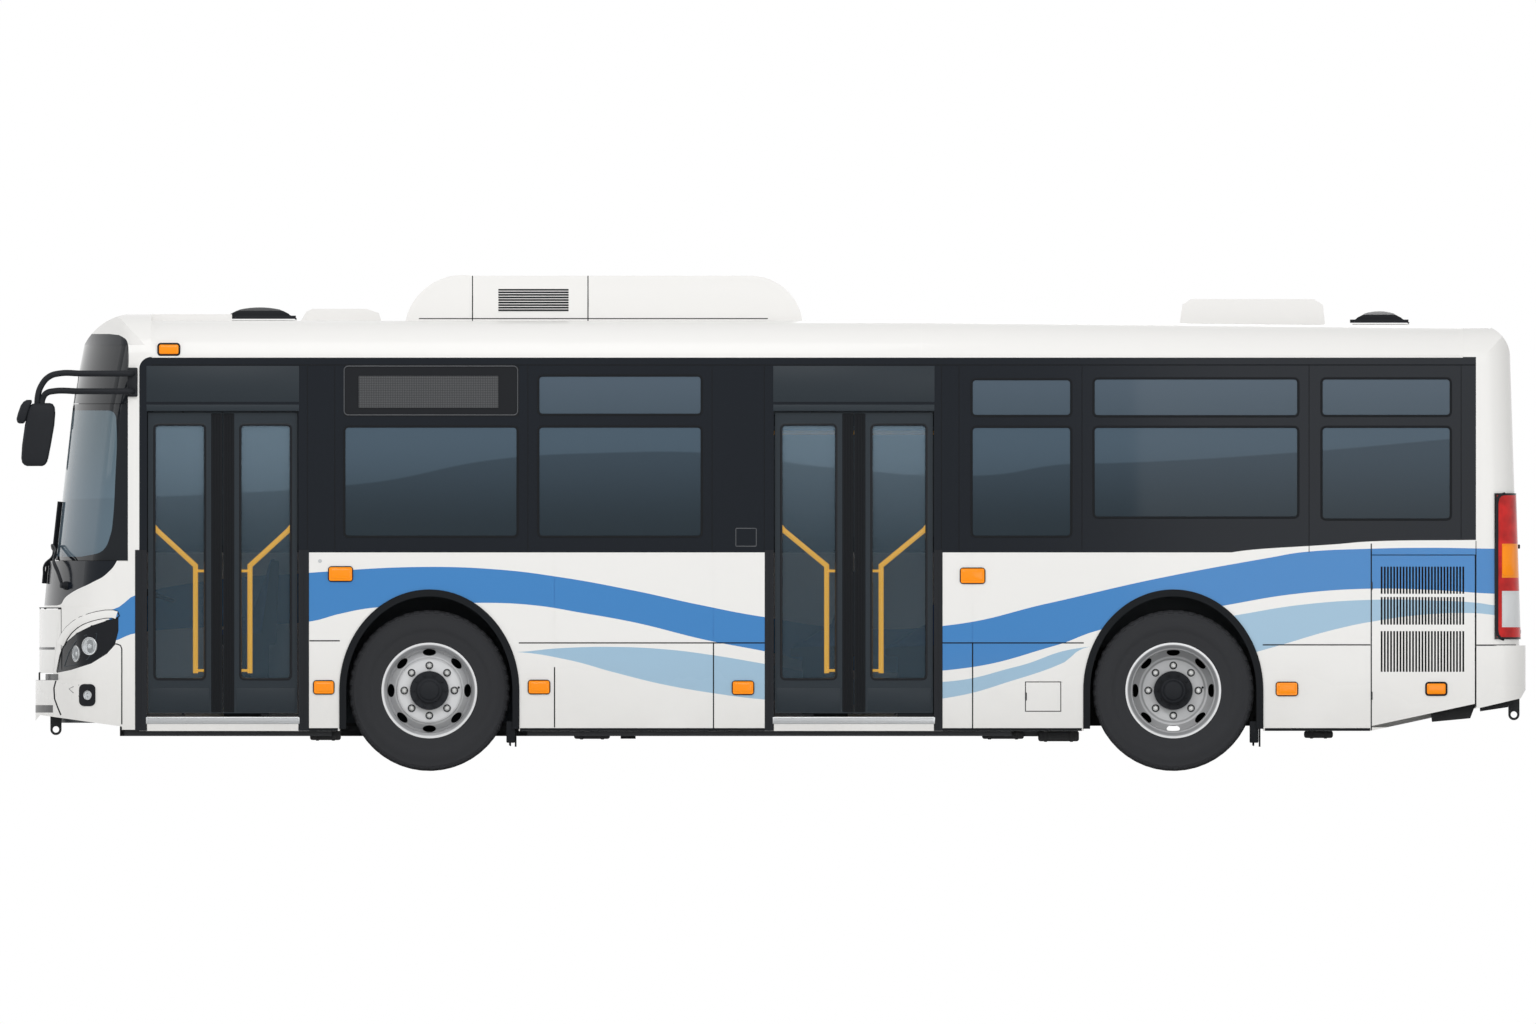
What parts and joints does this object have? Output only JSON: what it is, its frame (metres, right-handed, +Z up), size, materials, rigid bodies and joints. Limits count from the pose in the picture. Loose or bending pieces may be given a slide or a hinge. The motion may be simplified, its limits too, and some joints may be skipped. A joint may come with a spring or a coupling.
{
  "type": "city bus",
  "caption": "Low-floor single-deck city bus with two passenger doors, wave stripes, roof air conditioner and a rear engine.",
  "frame": {"origin": "on the ground, midway along the bounding box and on the centre line", "axes": "+Z up, front towards -X, passenger doors on the -Y side"},
  "size_m": [10.038, 2.664, 3.2982],
  "materials": {
    "aluminium": "satin",
    "black_trim": "gloss",
    "dark_metal": "matte",
    "floor_grey": "matte",
    "orange_lens": "gloss",
    "rail_yellow": "gloss",
    "red_lens": "gloss",
    "rubber": "matte",
    "screen_glass": "clear",
    "seat_blue": "satin",
    "tyre": "matte",
    "wheel_silver": "satin",
    "white_paint": "gloss",
    "window_glass": "clear"
  },
  "bodies": {
    "body": {"air_conditioner": "white_paint", "air_springs": "rubber", "bumpers": "white_paint", "chassis_frame": "dark_metal", "displays": "black_trim", "door_headers": "aluminium", "driver_cab": "black_trim", "engine": "dark_metal", "floor": "floor_grey", "front_axle": "dark_metal", "front_cap": "white_paint", "grab_rails": "rail_yellow", "headlamps": "black_trim", "hinges": "dark_metal", "left_panels": "white_paint", "left_window_band": "black_trim", "marker_lamps": "orange_lens", "mirrors": "black_trim", "rear_axle": "dark_metal", "rear_cap": "white_paint", "right_panels": "white_paint", "right_window_band": "black_trim", "roof": "white_paint", "roof_pods": "white_paint", "seats": "seat_blue", "tail_lamps": "red_lens", "tanks": "dark_metal", "tow_eyes": "dark_metal", "wheel_arch_trims": "rubber", "windows": "window_glass", "windscreen": "screen_glass", "wipers": "black_trim"},
    "front_lid": {"front_lid": "white_paint"},
    "engine_door": {"engine_door": "white_paint"},
    "engine_side_door": {"engine_side_door": "white_paint"},
    "fuel_flap": {"fuel_flap": "white_paint"},
    "front_roof_hatch": {"front_roof_hatch": "black_trim"},
    "rear_roof_hatch": {"rear_roof_hatch": "black_trim"},
    "left_knuckle": {"left_knuckle": "dark_metal"},
    "right_knuckle": {"right_knuckle": "dark_metal"},
    "tie_rod": {"tie_rod": "dark_metal"},
    "steering_wheel": {"steering_wheel": "black_trim"},
    "front_left_wheel": {"front_left_tyre": "tyre", "front_left_rim": "wheel_silver"},
    "front_right_wheel": {"front_right_tyre": "tyre", "front_right_rim": "wheel_silver"},
    "rear_left_wheel": {"rear_left_tyres": "tyre", "rear_left_rims": "wheel_silver"},
    "rear_right_wheel": {"rear_right_tyres": "tyre", "rear_right_rims": "wheel_silver"},
    "front_door_front_post": {"front_door_front_post": "aluminium"},
    "front_door_front_leaf": {"front_door_front_leaf": "black_trim"},
    "front_door_rear_post": {"front_door_rear_post": "aluminium"},
    "front_door_rear_leaf": {"front_door_rear_leaf": "black_trim"},
    "middle_door_front_post": {"middle_door_front_post": "aluminium"},
    "middle_door_front_leaf": {"middle_door_front_leaf": "black_trim"},
    "middle_door_rear_post": {"middle_door_rear_post": "aluminium"},
    "middle_door_rear_leaf": {"middle_door_rear_leaf": "black_trim"}
  },
  "joints": [
    {"name": "steering_wheel_turn", "type": "hinge", "parent": "body", "child": "steering_wheel", "pos_m": [-4.18, 0.7, 1.205], "axis": [0.342, 0, 0.9397], "range_deg": [-400, 400]},
    {"name": "left_steer", "type": "hinge", "parent": "body", "child": "left_knuckle", "pos_m": [-2.272, -0.93, 0.43], "axis": [0, 0, 1], "range_deg": [-40.5, 40.5]},
    {"name": "right_steer", "type": "hinge", "parent": "body", "child": "right_knuckle", "pos_m": [-2.272, 0.93, 0.43], "axis": [0, 0, 1], "range_deg": [-40.5, 40.5]},
    {"name": "tie_rod_pivot", "type": "hinge", "parent": "left_knuckle", "child": "tie_rod", "pos_m": [-2.18, -0.93, 0.294], "axis": [0, 0, 1], "range_deg": [-40.5, 40.5]},
    {"name": "front_left_wheel_spin", "type": "hinge", "parent": "left_knuckle", "child": "front_left_wheel", "pos_m": [-2.272, -1.04, 0.535], "axis": [0, 1, 0], "continuous": true},
    {"name": "front_right_wheel_spin", "type": "hinge", "parent": "right_knuckle", "child": "front_right_wheel", "pos_m": [-2.272, 1.04, 0.535], "axis": [0, 1, 0], "continuous": true},
    {"name": "rear_left_wheel_spin", "type": "hinge", "parent": "body", "child": "rear_left_wheel", "pos_m": [2.675, -1.078, 0.535], "axis": [0, 1, 0], "continuous": true},
    {"name": "rear_right_wheel_spin", "type": "hinge", "parent": "body", "child": "rear_right_wheel", "pos_m": [2.675, 1.078, 0.535], "axis": [0, 1, 0], "continuous": true},
    {"name": "front_door_open", "type": "hinge", "parent": "body", "child": "front_door_front_post", "pos_m": [-4.17, -1.205, 0.4], "axis": [0, 0, 1], "range_deg": [0, 85]},
    {"name": "front_door_front_leaf_turn", "type": "hinge", "parent": "front_door_front_post", "child": "front_door_front_leaf", "pos_m": [-3.9095, -1.205, 0.4], "axis": [0, 0, 1], "range_deg": [-171, 0.5]},
    {"name": "front_door_rear_post_turn", "type": "hinge", "parent": "body", "child": "front_door_rear_post", "pos_m": [-3.122, -1.205, 0.4], "axis": [0, 0, -1], "range_deg": [0, 85]},
    {"name": "front_door_rear_leaf_turn", "type": "hinge", "parent": "front_door_rear_post", "child": "front_door_rear_leaf", "pos_m": [-3.3825, -1.205, 0.4], "axis": [0, 0, -1], "range_deg": [-171, 0.5]},
    {"name": "middle_door_open", "type": "hinge", "parent": "body", "child": "middle_door_front_post", "pos_m": [-0.002, -1.205, 0.4], "axis": [0, 0, 1], "range_deg": [0, 85]},
    {"name": "middle_door_front_leaf_turn", "type": "hinge", "parent": "middle_door_front_post", "child": "middle_door_front_leaf", "pos_m": [0.273, -1.205, 0.4], "axis": [0, 0, 1], "range_deg": [-171, 0.5]},
    {"name": "middle_door_rear_post_turn", "type": "hinge", "parent": "body", "child": "middle_door_rear_post", "pos_m": [1.104, -1.205, 0.4], "axis": [0, 0, -1], "range_deg": [0, 85]},
    {"name": "middle_door_rear_leaf_turn", "type": "hinge", "parent": "middle_door_rear_post", "child": "middle_door_rear_leaf", "pos_m": [0.829, -1.205, 0.4], "axis": [0, 0, -1], "range_deg": [-171, 0.5]},
    {"name": "front_lid_open", "type": "hinge", "parent": "body", "child": "front_lid", "pos_m": [-4.865, 0, 0.651], "axis": [0, -1, 0], "range_deg": [0, 70]},
    {"name": "engine_door_open", "type": "hinge", "parent": "body", "child": "engine_door", "pos_m": [4.95421, 0, 1.52], "axis": [0, -1, 0], "range_deg": [0, 75]},
    {"name": "engine_side_door_open", "type": "hinge", "parent": "body", "child": "engine_side_door", "pos_m": [3.994, -1.25, 0.9], "axis": [0, 0, -1], "range_deg": [0, 100]},
    {"name": "fuel_flap_open", "type": "hinge", "parent": "body", "child": "fuel_flap", "pos_m": [1.695, -1.25, 0.495], "axis": [0, 0, -1], "range_deg": [0, 100]},
    {"name": "front_roof_hatch_open", "type": "hinge", "parent": "body", "child": "front_roof_hatch", "pos_m": [-3.159, 0, 3.006], "axis": [0, 1, 0], "range_deg": [0, 30]},
    {"name": "rear_roof_hatch_open", "type": "hinge", "parent": "body", "child": "rear_roof_hatch", "pos_m": [4.239, 0, 2.98], "axis": [0, 1, 0], "range_deg": [0, 30]}
  ],
  "couplings": [
    {"joint": "left_steer", "follows": "steering_wheel_turn", "ratio": 0.1},
    {"joint": "right_steer", "follows": "steering_wheel_turn", "ratio": 0.1},
    {"joint": "tie_rod_pivot", "follows": "steering_wheel_turn", "ratio": -0.1},
    {"joint": "front_door_front_leaf_turn", "follows": "front_door_open", "ratio": -2},
    {"joint": "front_door_rear_post_turn", "follows": "front_door_open", "ratio": 1},
    {"joint": "front_door_rear_leaf_turn", "follows": "front_door_open", "ratio": -2},
    {"joint": "middle_door_front_leaf_turn", "follows": "middle_door_open", "ratio": -2},
    {"joint": "middle_door_rear_post_turn", "follows": "middle_door_open", "ratio": 1},
    {"joint": "middle_door_rear_leaf_turn", "follows": "middle_door_open", "ratio": -2}
  ]
}
